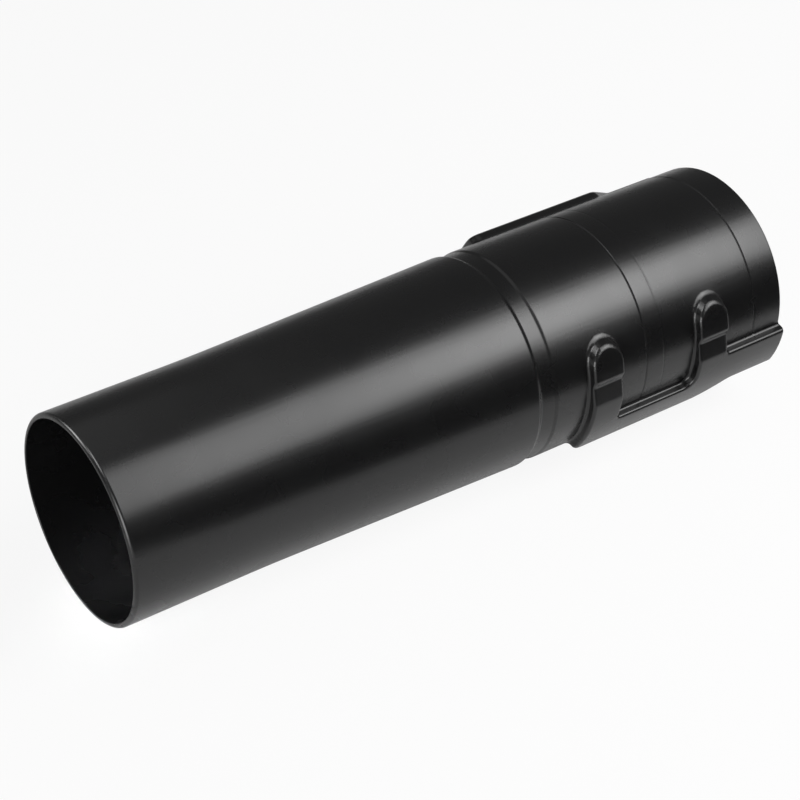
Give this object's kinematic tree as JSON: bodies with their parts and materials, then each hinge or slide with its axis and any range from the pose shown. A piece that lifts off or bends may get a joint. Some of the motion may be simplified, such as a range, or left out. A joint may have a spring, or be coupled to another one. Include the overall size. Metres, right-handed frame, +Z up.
{
  "type": "leaf blower nozzle tube",
  "caption": "Round tapered black plastic nozzle tube for a leaf blower, with a sleeve socket and bayonet lug tracks that lock it on the blower tube in either of its length positions.",
  "frame": {"origin": "on the floor under the middle of the tube's box, as the tube lies on its side", "axes": "+X along the tube from the mouth towards the socket, which rises 0.88 degrees because the mouth rim and the widest ring both touch the floor; +Z up; the near lug track faces -Y"},
  "size_m": [0.2912, 0.0916, 0.0866],
  "materials": {
    "black_polyethylene": "satin"
  },
  "bodies": {
    "root": {"nozzle_tube": "black_polyethylene"}
  },
  "joints": []
}
